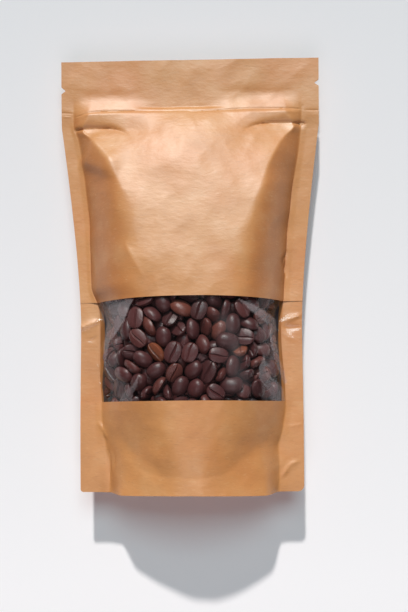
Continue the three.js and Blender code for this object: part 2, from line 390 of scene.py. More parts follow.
# Wrinkles over the side seals beside the window, through the film and the back sheet behind it
SEAL_FOLDS = [
    (((-60.0, -27.0), (-55.0, -25.6), (-50.0, -23.8), (-45.0, -22.2)), 1.3, 1.3, 2.4, (0.2, 0.15)),
    (((-54.5, -33.0), (-49.5, -32.0), (-45.0, -29.0)), -0.4, 1.8, 1.8, (0.4, 0.3)),
    (((-47.5, -37.0), (-45.8, -38.5), (-43.5, -38.8)), 0.5, 0.8, 0.8, (0.3, 0.3)),
    (((-48.8, -44.5), (-46.6, -46.5), (-43.8, -47.5)), 0.5, 0.9, 0.9, (0.3, 0.3)),
    (((-49.0, -52.5), (-46.4, -54.5), (-44.0, -57.5)), 0.4, 0.9, 0.9, (0.3, 0.3)),
    (((42.3, -26.4), (47.5, -24.2), (56.0, -21.2)), 0.9, 2.6, 1.0, (0.15, 0.2)),
    (((42.3, -26.8), (48.5, -27.4), (56.0, -27.0)), -0.7, 0.7, 2.6, (0.15, 0.2)),
    (((43.0, -28.0), (48.0, -32.0), (54.0, -34.5)), 0.4, 1.5, 1.5, (0.15, 0.5)),
]
FILM_FOLDS = [
    # Pulled in at the left, over the seal and into the heap
    (((-28.4, -12.5), (-32.6, -23.2), (-36.6, -28.8), (-40.0, -33.5), (-41.9, -40.0), (-42.6, -48.0)),
     0.35, 1.2, 3.5, (0.2, 0.3)),
    (((-24.8, -48.4), (-27.9, -54.5), (-33.0, -62.0)), 0.3, 1.5, 2.5, (0.3, 0.1)),
    # Gathered at the right, with folds that run out over the seal
    (((22.1, -12.0), (31.0, -17.2), (38.5, -22.5), (42.6, -26.4)), 0.4, 1.0, 3.5, (0.2, 0.1)),
    (((42.2, -27.0), (39.6, -31.0), (41.0, -38.0), (43.3, -45.5), (46.5, -55.5)), 0.35, 1.0, 2.5, (0.1, 0.3)),
    (((35.0, -39.8), (34.4, -47.0), (37.0, -51.5), (42.0, -56.0), (44.0, -63.0)), 0.3, 1.5, 2.5, (0.3, 0.1)),
]
# Painted reflection on the film, pale patches that stand in for the lights mirrored in its folds: (outline in
# x and y, how strong)
PAINTED_FILM_REFLECTIONS = [
    (((-47.0, -12.0), (-27.5, -12.0), (-29.2, -15.3), (-32.8, -23.0), (-36.8, -28.6), (-40.2, -32.8),
      (-42.0, -39.8), (-42.8, -48.0), (-44.0, -40.0), (-43.4, -32.0), (-43.6, -24.0), (-45.9, -17.5)), 1.0),
    (((22.1, -12.2), (26.5, -14.0), (36.4, -19.4), (42.4, -23.6), (43.4, -27.5), (41.4, -30.0), (42.0, -36.5),
      (44.2, -44.5), (47.6, -55.0), (45.7, -55.6), (41.6, -46.0), (39.1, -37.5), (37.6, -30.5), (38.6, -26.8),
      (35.0, -23.4), (28.8, -18.6)), 0.9),
    (((35.0, -39.4), (35.4, -44.0), (36.0, -48.5), (38.7, -51.5), (42.7, -54.8), (45.4, -58.5), (45.8, -64.0),
      (38.8, -64.0), (38.0, -59.0), (34.4, -54.8), (31.8, -50.0), (32.4, -45.5)), 0.85),
    (((-24.6, -48.2), (-26.0, -52.5), (-28.6, -58.0), (-29.2, -64.0), (-36.8, -64.0), (-34.5, -59.0),
      (-29.8, -54.0), (-26.8, -50.8)), 0.8),
]
VEIL_WANDER, VEIL_WAVE, VEIL_CLOUD = 0.3, 9, 12  # how far the painted reflections' outlines wander, and the waves in them
# A fainter painted reflection along a path, its half width in mm and how strong it is
REFLECTION_PATH, REFLECTION_WIDTH, REFLECTION_STRENGTH = ((16.5, -24.0), (20.0, -36.0), (23.5, -54.0)), 5.0, 0.24
FILM_OVERLAP, FILM_THICKNESS = 3.0, 0.1
LOWER_FOLDS = [
    # Edge of the seal between the gusset and the front
    (((-32.0, -85.0), (-28.0, -92.0), (-20.0, -95.5), (-4.0, -97.0), (14.0, -96.0), (24.0, -92.0)),
     -0.2, 4.0, 4.0, (0.25, 0.25)),
    # Lobes beside the gusset, at the left and at the right
    (((-48.0, -72.0), (-44.8, -76.5), (-42.2, -82.5)), 0.7, 1.2, 2.6, (0.3, 0.3)),
    (((-42.0, -85.5), (-41.6, -96.0), (-40.4, -107.0)), -0.9, 0.8, 1.5, (0.25, 0.3)),
    (((-39.4, -85.0), (-38.7, -92.0), (-39.4, -98.0)), -0.55, 0.7, 1.3, (0.4, 0.4)),
    (((43.4, -102.0), (48.0, -95.5), (54.0, -93.5)), 0.7, 1.5, 3.0, (0.2, 0.3)),
    (((45.0, -75.6), (50.0, -76.3), (55.5, -75.4)), 0.35, 0.8, 1.6, (0.35, 0.3)),
]
LOWER_RELIEF = 1.25  # the paper below the window is the more crumpled
# The gusset's seal turns the base up by this much for each mm past an arc: how low the arc is, and how far
# it has climbed at the given x. The turn fades over a stretch beside the gusset.
TURN_UP, ARC_LOW, ARC_CLIMB, ARC_AT, TURN_TO, TURN_FADE = 0.2, 97, 12, 32, 31, 11
# Painted shade darkens the kraft's steep flanks from this slope on, and fully so this much steeper, and only
# past this y, over this run
FLANK_SHADE_FROM, FLANK_SHADE_OVER, FLANK_SHADE_PAST, FLANK_SHADE_RUN = 0.22, 0.4, -85, 50


def rows_between(*stretches):
    """Runs along the pouch through (start, end, step) stretches that follow each other."""
    rows = [np.linspace(a, b, max(2, round((b - a) / step) + 1)) for a, b, step in stretches]
    return np.unique(np.concatenate(rows).round(4))[:, None]


def paper_relief(x, y, seed):
    """Slight waviness and soft, crisp-edged creases that all kraft paper takes on when handled."""
    soft = sum(height * waves(x, y, length, seed + i) for i, (height, length) in enumerate(SOFT_WAVES))
    crisp = sum(
        height * (CREASE_EDGE - np.abs(waves(x, y, length, seed + len(SOFT_WAVES) + i)))
        for i, (height, length) in enumerate(CREASES)
    )
    return soft + crisp


def folded(x, y, folds):
    """Height of all the folds of a list."""
    return sum(fold(x, y, *one) for one in folds)


def in_window(shape, run):
    """1 over the window, easing to 0 at its edges."""
    return smooth((run - shape.window_bottom) / EDGE_EASE) * smooth((shape.window_top - run) / EDGE_EASE)


def front_points(shape, runs, relief, lift=0.0, film=False):
    """A band of the front in mm. The relief stands square on it, and gets each point's place."""
    x, across, over = shape.columns(runs[:, 0], SEAL_CELLS, FILM_CELLS if film else BULGE_CELLS, film)
    points = shape.front(x, across, over, runs, lift, film)
    height = relief(points[..., 0], points[..., 1], over, runs)
    return points + grid_normals(points) * height[..., None]


def back_points(shape, runs):
    """The back in mm, with the wrinkles of the seals beside the window."""
    x, across, over = shape.columns(runs[:, 0], SEAL_CELLS, BULGE_CELLS)
    points = shape.back(x, across, runs)
    beside_window = smooth(shape.PRESS_WITHIN * over) * in_window(shape, runs)
    points[..., 2] += beside_window * folded(points[..., 0], points[..., 1], SEAL_FOLDS)
    return points


def front_upper_points(shape):
    """The kraft sheet above the window in mm."""

    def relief(x, y, over, run):
        return paper_relief(x, y, UPPER_SEED) * (1 - PAPER_CALM * over) + folded(x, y, UPPER_FOLDS)

    low, high = shape.zip_bottom - BELOW_ZIP, shape.zip_top + ABOVE_ZIP
    runs = rows_between(
        (shape.window_top, low, PAPER_STEP), (low, high, ZIP_STEP), (high, shape.length, PAPER_STEP)
    )
    return front_points(shape, runs, relief, lift=shape.sheet)


def front_lower_points(shape):
    """The kraft sheet below the window in mm."""

    def relief(x, y, over, run):
        past_arc = ARC_CLIMB * (x / ARC_AT) ** 2 - ARC_LOW - y
        turned_up = TURN_UP * np.logaddexp(0, past_arc) * (1 - smooth((np.abs(x) - TURN_TO) / TURN_FADE))
        wavy = LOWER_RELIEF * paper_relief(x, y, LOWER_SEED) * (1 - PAPER_CALM * over)
        return wavy + folded(x, y, LOWER_FOLDS) + turned_up

    runs = rows_between((0, BASE_RUN, BASE_STEP), (BASE_RUN, shape.window_bottom, PAPER_STEP))
    return front_points(shape, runs, relief, lift=shape.sheet)


def window_points(shape):
    """The film in mm, with its laps behind the kraft."""

    def relief(x, y, over, run):
        wavy = FILM_HEIGHT * waves(x, y, FILM_WAVE, FILM_SEED) * (1 - FILM_CALM * over)
        return wavy + in_window(shape, run) * folded(x, y, FILM_FOLDS + SEAL_FOLDS)

    runs = rows_between((shape.window_bottom - FILM_OVERLAP, shape.window_top + FILM_OVERLAP, FILM_STEP))
    return front_points(shape, runs, relief, film=True)


def within(x, y, outline):
    """Whether each point lies inside a closed outline."""
    inside = np.zeros(x.shape, dtype=bool)
    for (ax, ay), (bx, by) in zip(outline, outline[1:] + outline[:1]):
        if ay != by:
            inside ^= ((ay > y) != (by > y)) & (x < (bx - ax) * (y - ay) / (by - ay) + ax)
    return inside


def painted_film_reflection(points):
    """How much painted reflection the film has at each point, between 0 and 1."""
    x, y = points[..., 0], points[..., 1]
    wander = VEIL_WANDER * waves(x, y, VEIL_WAVE, VEIL_SEED)
    _, gap = along_path(x, y, REFLECTION_PATH)
    reflection_paint = REFLECTION_STRENGTH * np.exp(-((gap / REFLECTION_WIDTH) ** 2)) * (0.75 + 0.25 * waves(x, y, VEIL_WAVE, VEIL_SEED + 1))
    for outline, reflection_share in PAINTED_FILM_REFLECTIONS:
        patchy_reflection = reflection_share * (0.9 + 0.12 * waves(x, y, VEIL_CLOUD, VEIL_SEED + 2))
        reflection_paint = np.where(within(x + wander, y - wander, outline), patchy_reflection, reflection_paint)
    return clamp01(reflection_paint)


def painted_flank_shade(points):
    """How much painted shade darkens the kraft at each point, between 0 and 1: more where the sheet slopes
    steeply across the pouch, on its flanks, and fading out towards the base."""
    slope = np.abs(grid_normals(points)[..., 0])
    return smooth((slope - FLANK_SHADE_FROM) / FLANK_SHADE_OVER) * smooth((points[..., 1] - FLANK_SHADE_PAST) / FLANK_SHADE_RUN)


# ---- Properties ------------------------------------------------------------------------------------


def size(name, description, default):
    """A length in metres."""
    return FloatProperty(
        name=name, description=description, default=default, min=0.0, unit="LENGTH", subtype="DISTANCE"
    )


def colour(name, description, default):
    """A colour, given as sRGB hex."""
    return FloatVectorProperty(
        name=name, description=description, default=linear(default), size=4, min=0.0, max=1.0, subtype="COLOR"
    )


class PouchSizes(bpy.types.PropertyGroup):
    """Sizes of the pouch itself"""

    length: size("Length", "Base corners to top edge", BACK_HIGH.y - BACK_LOW.y)
    flat_width: size("Flat width", "Width at the top, where the pouch is flat", BACK_HIGH.x - BACK_LOW.x)
    belly_width: size("Belly width", "Width that the filled pouch draws in to", 0.1114)
    side_seal: size("Side seal", "Width of the flat side seals", 0.0095)
    window_bottom: size("Window bottom", "Lower edge of the clear band, from the base", 0.045)
    window_top: size("Window top", "Upper edge of the clear band, from the base", 0.095)
    zip_bottom: size("Zip bottom", "Lower edge of the zip, from the base", 0.1915)
    zip_top: size("Zip top", "Upper edge of the zip, from the base", 0.2)
    front_rise: size("Front rise", "How far the front climbs from the zip to the belly", 0.0275)
    sheet: size("Sheet", "Thickness of the laminate as modelled", 0.00028)
    gusset_depth: size("Gusset depth", "How deep the base is folded in", 0.011)


class BeanSizes(bpy.types.PropertyGroup):
    """Sizes of the roasted beans"""

    length: size("Length", "Length of a bean", 0.0106)
    width: size("Width", "Width of a bean", 0.0084)
    height: size("Height", "Height of a bean", 0.0055)
    count: IntProperty(name="Count", description="Beans poured behind the window", default=600, min=1)
    seed: IntProperty(name="Seed", description="Start of the random draws", default=4)


class Finishes(bpy.types.PropertyGroup):
    """Colours of the materials"""

    kraft: colour("Kraft", "Unbleached kraft paper", "#cb8b51")
    kraft_dark: colour("Kraft fibres", "Darker fibres in the kraft paper", "#a0673a")
    kraft_warm: colour("Kraft tint", "Warmer patches in the kraft paper", "#cc7a3c")
    # Painted shade: the darker kraft colour laid on the steep flanks
    kraft_painted_shade: colour("Shaded kraft", "Kraft paper where it is pulled around the heap", "#bc7842")
    kraft_light: colour("Kraft flecks", "Pale fibres in the kraft paper", "#dcb083")
    roast: colour("Roast", "Dark roasted bean", "#522a2a")
    roast_red: colour("Red roast", "Lighter, redder bean", "#6e3a2e")
    roast_pale: colour("Pale roast", "Palest bean in the batch", "#a0582c")


def shape_now():
    """The pouch in its present sizes."""
    return PouchShape(bpy.context.scene.pouch_sizes)


# ---- Modelling helpers -----------------------------------------------------------------------------


def deselect_all():
    bpy.ops.object.select_all(action="DESELECT")


def select(*pieces):
    """Selects the given pieces and nothing else, with the first one active."""
    deselect_all()
    for piece in pieces:
        piece.select_set(True)
    bpy.context.view_layer.objects.active = pieces[0]


def apply_modifier(piece, kind, **settings):
    """Adds a modifier with the given settings and applies it."""
    select(piece)
    modifier = piece.modifiers.new(kind.title(), kind)
    for key, value in settings.items():
        setattr(modifier, key, value)
    bpy.ops.object.modifier_apply(modifier=modifier.name)


def grid(points):
    """A grid primitive that is shaped to the given points in metres, with its rows along +Y."""
    rows, columns = points.shape[:2]
    deselect_all()
    bpy.ops.mesh.primitive_grid_add(x_subdivisions=columns - 1, y_subdivisions=rows - 1, size=1)
    piece = bpy.context.object
    piece.data.vertices.foreach_set("co", points.astype(np.float32).ravel())
    piece.data.update()
    return piece


def point_values(mesh, name, values):
    """Stores a value for each point, which a material reads by its name."""
    mesh.attributes.new(name, "FLOAT", "POINT").data.foreach_set("value", values)


def sheet_piece(name, points, thickness, material, replaces, values):
    """A sheet of the given thickness, all in mm, with a grid of points as its middle surface. Its values
    are what its material reads at each point: a name, and a number for each."""
    piece = grid(points * MM)
    piece.name = piece.data.name = name
    point_values(piece.data, values[0], values[1].astype(np.float32).ravel())
    apply_modifier(piece, "SOLIDIFY", thickness=thickness * MM, offset=0.0)
    finish_piece(piece, material, replaces)


def kraft_piece(name, points, replaces):
    """A sheet of the kraft laminate."""
    sizes, finishes = bpy.context.scene.pouch_sizes, bpy.context.scene.pouch_finishes
    material = shared_material("kraft_paper_laminate", kraft_material, finishes)
    # The painted shade on the steep flanks, stored for the material
    values = ("painted_flank_shade", painted_flank_shade(points))
    sheet_piece(name, points, sizes.sheet / MM, material, [replaces], values)


def finish_piece(piece, material, replaces=()):
    """Smooths a piece, gives it its material and slot, and puts it on the pouch's body."""
    select(piece)
    bpy.ops.object.shade_smooth_by_angle(angle=math.radians(50))
    piece.data.materials.clear()
    piece.data.materials.append(material)
    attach(piece, "root")
    if replaces:
        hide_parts(*replaces)


def add_node(tree, kind, links=(), **settings):
    """Adds a node. Settings name its attributes, or its input sockets by name or number; links are
    (input socket, node, output socket)."""
    node = tree.nodes.new(kind)
    for key, value in settings.items():
        if hasattr(node, key):
            setattr(node, key, value)
        else:
            node.inputs[int(key[1:]) if key[1:].isdigit() else key.replace("_", " ")].default_value = value
    for socket, source, output in links:
        tree.links.new(source.outputs[output], node.inputs[socket])
    return node


def new_material(name):
    """A material without any nodes, and its tree."""
    material = bpy.data.materials.new(name)
    material.use_nodes = True
    material.node_tree.nodes.clear()
    return material, material.node_tree


# ---- Materials -------------------------------------------------------------------------------------


def per_metre(length):
    """Noise scale of a pattern whose features are so many mm long."""
    return 1 / (length * MM)


def kraft_material(finishes):
    """Unbleached kraft paper laminated to a plastic lining: matt brown with a soft sheen, short fibres lying
    every way, a cloudy formation and fine cockles across the web, and painted shade that darkens its steep
    flanks."""
    material, tree = new_material("kraft_paper_laminate")
    place = add_node(tree, "ShaderNodeTexCoord")
    # The pulp's clouds are about 14 mm across, and warmer patches 36 mm
    on_piece = ("Vector", place, "Object")
    cloud, patch = (
        add_node(tree, "ShaderNodeTexNoise", [on_piece], Scale=per_metre(across), Detail=3.0)
        for across in (14.286, 35.714)
    )
    # Painted shade on the steep flanks, read from the points, is the lowest tint
    shaded = add_node(tree, "ShaderNodeAttribute", attribute_name="painted_flank_shade")
    # What tints the paper, from the lowest layer up: (where, its output, colour)
    tints = [(shaded, "Fac", finishes.kraft_painted_shade)]
    for source, low, high, tint, strength in (
        (cloud, 0.5, 0.85, finishes.kraft_dark, 0.35),
        (cloud, 0.5, 0.15, finishes.kraft_light, 0.35),
        (patch, 0.45, 0.75, finishes.kraft_warm, 0.5),
    ):
        share = add_node(
            tree,
            "ShaderNodeMapRange",
            [("Value", source, "Fac")],
            From_Min=low,
            From_Max=high,
            To_Max=strength,
        )
        tints.append((share, "Result", tint))
    # Fibres are about 3 mm long and 0.03 mm wide, too fine to show, so they are drawn 0.7 mm wide. They lie
    # at three angles, each shifted to a place of its own.
    for shift, angle, tint, strength in (
        (0, 0.15, finishes.kraft_dark, 0.30),
        (1, 1.2, finishes.kraft_light, 0.28),
        (2, -0.9, finishes.kraft_dark, 0.22),
    ):
        turn = add_node(
            tree,
            "ShaderNodeMapping",
            [on_piece],
            Rotation=(0.0, 0.0, angle),
            Location=(shift * 0.37, shift * 0.11, 0.0),
            Scale=[per_metre(length) for length in (3.5714, 0.66667, 1.66667)],
        )
        fibre = add_node(tree, "ShaderNodeTexNoise", [("Vector", turn, "Vector")], Scale=1.0, Detail=2.0)
        share = add_node(
            tree,
            "ShaderNodeMapRange",
            [("Value", fibre, "Fac")],
            From_Min=0.6,
            From_Max=0.78,
            To_Max=strength,
        )
        tints.append((share, "Result", tint))
    under = []
    for source, output, tint in tints:
        layer = add_node(
            tree,
            "ShaderNodeMix",
            [("Factor", source, output), *under],
            data_type="RGBA",
            i6=list(finishes.kraft),
            i7=list(tint),
        )
        under = [(6, layer, 2)]
    # Cockles are about 5 mm long, across the web, and 2.3 mm apart
    web = add_node(
        tree,
        "ShaderNodeMapping",
        [on_piece],
        Scale=[per_metre(length) for length in (4.7619, 2.32558, 5.0)],
    )
    cockle = add_node(
        tree, "ShaderNodeTexNoise", [("Vector", web, "Vector")], Scale=1.0, Detail=4.0, Roughness=0.6
    )
    cockles = add_node(tree, "ShaderNodeBump", [("Height", cockle, "Fac")], Strength=0.6, Distance=0.26 * MM)
    gloss = add_node(tree, "ShaderNodeMapRange", [("Value", cloud, "Fac")], To_Min=0.42, To_Max=0.56)
    paper = add_node(
        tree,
        "ShaderNodeBsdfPrincipled",
        [("Base Color", layer, 2), ("Roughness", gloss, "Result"), ("Normal", cockles, "Normal")],
        IOR=1.5,
        Specular_IOR_Level=1.0,
    )
    add_node(tree, "ShaderNodeOutputMaterial", [("Surface", paper, "BSDF")])
    return material


def film_material():
    """Clear cast polypropylene film: it mirrors the light, more so at a slant, and carries painted
    reflection: a pale diffuse layer in given patches that stands in for the lights mirrored in its folds."""
    material, tree = new_material("clear_polypropylene_film")
    place = add_node(tree, "ShaderNodeTexCoord")
    clear = add_node(tree, "ShaderNodeBsdfTransparent", Color=(1.0, 1.0, 1.0, 1.0))
    # Handling leaves scuffs about 4 mm apart
    scuffs = add_node(
        tree, "ShaderNodeTexNoise", [("Vector", place, "Object")], Scale=per_metre(3.84615), Detail=3.0
    )
    gloss = add_node(tree, "ShaderNodeMapRange", [("Value", scuffs, "Fac")], To_Min=0.06, To_Max=0.18)
    shine = add_node(
        tree, "ShaderNodeBsdfGlossy", [("Roughness", gloss, "Result")], Color=(1.0, 1.0, 1.0, 1.0)
    )
    slant = add_node(tree, "ShaderNodeLayerWeight", Blend=0.5)
    steep = add_node(tree, "ShaderNodeMath", [(0, slant, "Facing")], operation="POWER", i1=5.0)
    mirrored = add_node(tree, "ShaderNodeMapRange", [("Value", steep, 0)], To_Min=0.02, To_Max=0.14)
    film = add_node(tree, "ShaderNodeMixShader", [("Fac", mirrored, 0), (1, clear, 0), (2, shine, 0)])
    # Painted reflection: the attribute mixes in a pale diffuse layer that stands in for the lights mirrored
    # in the folds
    reflection_share = add_node(tree, "ShaderNodeAttribute", attribute_name="reflection_paint")
    reflection_weight = add_node(tree, "ShaderNodeMapRange", [("Value", reflection_share, "Fac")], To_Max=0.13)
    painted_reflection_layer = add_node(tree, "ShaderNodeBsdfDiffuse", Color=linear("#d9cccf"))
    with_reflection = add_node(tree, "ShaderNodeMixShader", [("Fac", reflection_weight, 0), (1, film, 0), (2, painted_reflection_layer, 0)])
    add_node(tree, "ShaderNodeOutputMaterial", [("Surface", with_reflection, 0)])
    return material


def bean_material(finishes):
    """Medium-dark roasted arabica: a dry, finely wrinkled skin with a soft oily sheen, each bean roasted
    a little differently."""
    material, tree = new_material("roasted_coffee_bean")
    place = add_node(tree, "ShaderNodeTexCoord")
    roast = add_node(tree, "ShaderNodeAttribute", attribute_name="roast")
    shade = add_node(tree, "ShaderNodeValToRGB", [("Fac", roast, "Fac")])
    ramp = shade.color_ramp
    ramp.elements[0].color = [v * 0.6 for v in finishes.roast[:3]] + [1.0]
    ramp.elements[1].color = finishes.roast_pale
    for at, tint in ((0.45, finishes.roast), (0.8, finishes.roast_red)):
        ramp.elements.new(at).color = tint
    # The skin's wrinkles are about 0.3 mm apart, and are drawn 1.1 mm apart to show
    skin = add_node(
        tree, "ShaderNodeTexNoise", [("Vector", place, "Object")], Scale=per_metre(1.11111), Detail=3.0
    )
    mottle = add_node(tree, "ShaderNodeMapRange", [("Value", skin, "Fac")], To_Min=0.75, To_Max=1.25)
    toned = add_node(
        tree,
        "ShaderNodeMix",
        [(6, shade, "Color"), (7, mottle, "Result")],
        data_type="RGBA",
        blend_type="MULTIPLY",
        i0=1.0,
    )
    wrinkles = add_node(tree, "ShaderNodeBump", [("Height", skin, "Fac")], Strength=0.4, Distance=0.3 * MM)
    bean = add_node(
        tree,
        "ShaderNodeBsdfPrincipled",
        [("Base Color", toned, 2), ("Normal", wrinkles, "Normal")],
        Roughness=0.42,
        IOR=1.5,
    )
    add_node(tree, "ShaderNodeOutputMaterial", [("Surface", bean, "BSDF")])
    return material


def core_material():
    """Beans deep in the heap, in the dark: only lumps of about 7 mm can be told apart."""
    material, tree = new_material("beans_in_shade")
    place = add_node(tree, "ShaderNodeTexCoord")
    lumps = add_node(
        tree, "ShaderNodeTexNoise", [("Vector", place, "Object")], Scale=per_metre(6.66667), Detail=2.0
    )
    shade = add_node(
        tree,
        "ShaderNodeMix",
        [("Factor", lumps, "Fac")],
        data_type="RGBA",
        i6=linear("#120b0c"),
        i7=linear("#2a1a1b"),
    )
    dark = add_node(tree, "ShaderNodeBsdfPrincipled", [("Base Color", shade, 2)], Roughness=0.7)
    add_node(tree, "ShaderNodeOutputMaterial", [("Surface", dark, "BSDF")])
    return material


def floor_material():
    """Matt white table paint, with painted shade that makes it a little greyer towards the back."""
    material, tree = new_material("white_table")
    place = add_node(tree, "ShaderNodeTexCoord")
    along = add_node(tree, "ShaderNodeSeparateXYZ", [("Vector", place, "Object")])
    # Painted shade: the table darkens towards the back
    back = add_node(tree, "ShaderNodeMapRange", [("Value", along, "Y")], From_Min=-0.16, From_Max=0.16)
    shade = add_node(
        tree,
        "ShaderNodeMix",
        [("Factor", back, "Result")],
        data_type="RGBA",
        i6=linear("#f9f5f7"),
        i7=linear("#e3e0e3"),
    )
    top = add_node(tree, "ShaderNodeBsdfPrincipled", [("Base Color", shade, 2)], Roughness=0.8)
    add_node(tree, "ShaderNodeOutputMaterial", [("Surface", top, "BSDF")])
    return material


def shared_material(name, make, *arguments):
    """The material of that name, which is made the first time."""
    return bpy.data.materials.get(name) or make(*arguments)


# ---- Operators -------------------------------------------------------------------------------------


class POUCH_OT_front_upper(bpy.types.Operator):
    """Adds the kraft sheet above the window, with the zip's band and the tear notches"""

    bl_idname = "pouch.front_upper"
    bl_label = "Front Above Window"

    def execute(self, context):
        kraft_piece("front_kraft_above_window", front_upper_points(shape_now()), "front_panel_upper")
        return {"FINISHED"}


class POUCH_OT_front_lower(bpy.types.Operator):
    """Adds the kraft sheet below the window"""

    bl_idname = "pouch.front_lower"
    bl_label = "Front Below Window"

    def execute(self, context):
        kraft_piece("front_kraft_below_window", front_lower_points(shape_now()), "front_panel_lower")
        return {"FINISHED"}


class POUCH_OT_window(bpy.types.Operator):
    """Adds the clear film band between the two kraft sheets"""

    bl_idname = "pouch.window"
    bl_label = "Window Film"

    def execute(self, context):
        points = window_points(shape_now())
        material = shared_material("clear_polypropylene_film", film_material)
        # The painted reflection's strength at each point
        values = ("reflection_paint", painted_film_reflection(points))
        sheet_piece(
            "window_clear_film", points, FILM_THICKNESS, material, ["window_film"], values
        )
        return {"FINISHED"}


class POUCH_OT_back(bpy.types.Operator):
    """Adds the kraft back sheet, pressed flat where the pouch lies on it"""

    bl_idname = "pouch.back"
    bl_label = "Back"

    def execute(self, context):
        shape = shape_now()
        runs = rows_between((0, BASE_RUN, BASE_STEP), (BASE_RUN, shape.length, BACK_STEP))
        kraft_piece("back_kraft_sheet", back_points(shape, runs), "back_panel")
        return {"FINISHED"}


class POUCH_OT_gusset(bpy.types.Operator):
    """Adds the folded gusset that closes the base"""

    bl_idname = "pouch.gusset"
    bl_label = "Base Gusset"

    # How much deeper it is drawn in at its sides, how round its fold is, and its rows from back to front
    SIDE_DEPTH, FOLD, ROWS = 16.0, 1.6, 49

    def execute(self, context):
        shape = shape_now()
        bulge = slice(SEAL_CELLS, SEAL_CELLS + BULGE_CELLS + 1)
        top, bottom = front_lower_points(shape)[:1, bulge], back_points(shape, np.zeros((1, 1)))[:, bulge]
        up = np.linspace(-1, 1, self.ROWS)[:, None]
        across = np.linspace(-1, 1, BULGE_CELLS + 1)[None, :]
        points = mix(bottom, top, (up[..., None] + 1) / 2)
        points[..., 1] += (shape.gusset_depth + self.SIDE_DEPTH * across**2) * (1 - np.abs(up) ** self.FOLD)
        points[..., 2] -= up * np.minimum(shape.sheet, (top[..., 2] - bottom[..., 2]) / 2)  # inside both
        kraft_piece("gusset_kraft_sheet", points, "base_gusset")
        return {"FINISHED"}


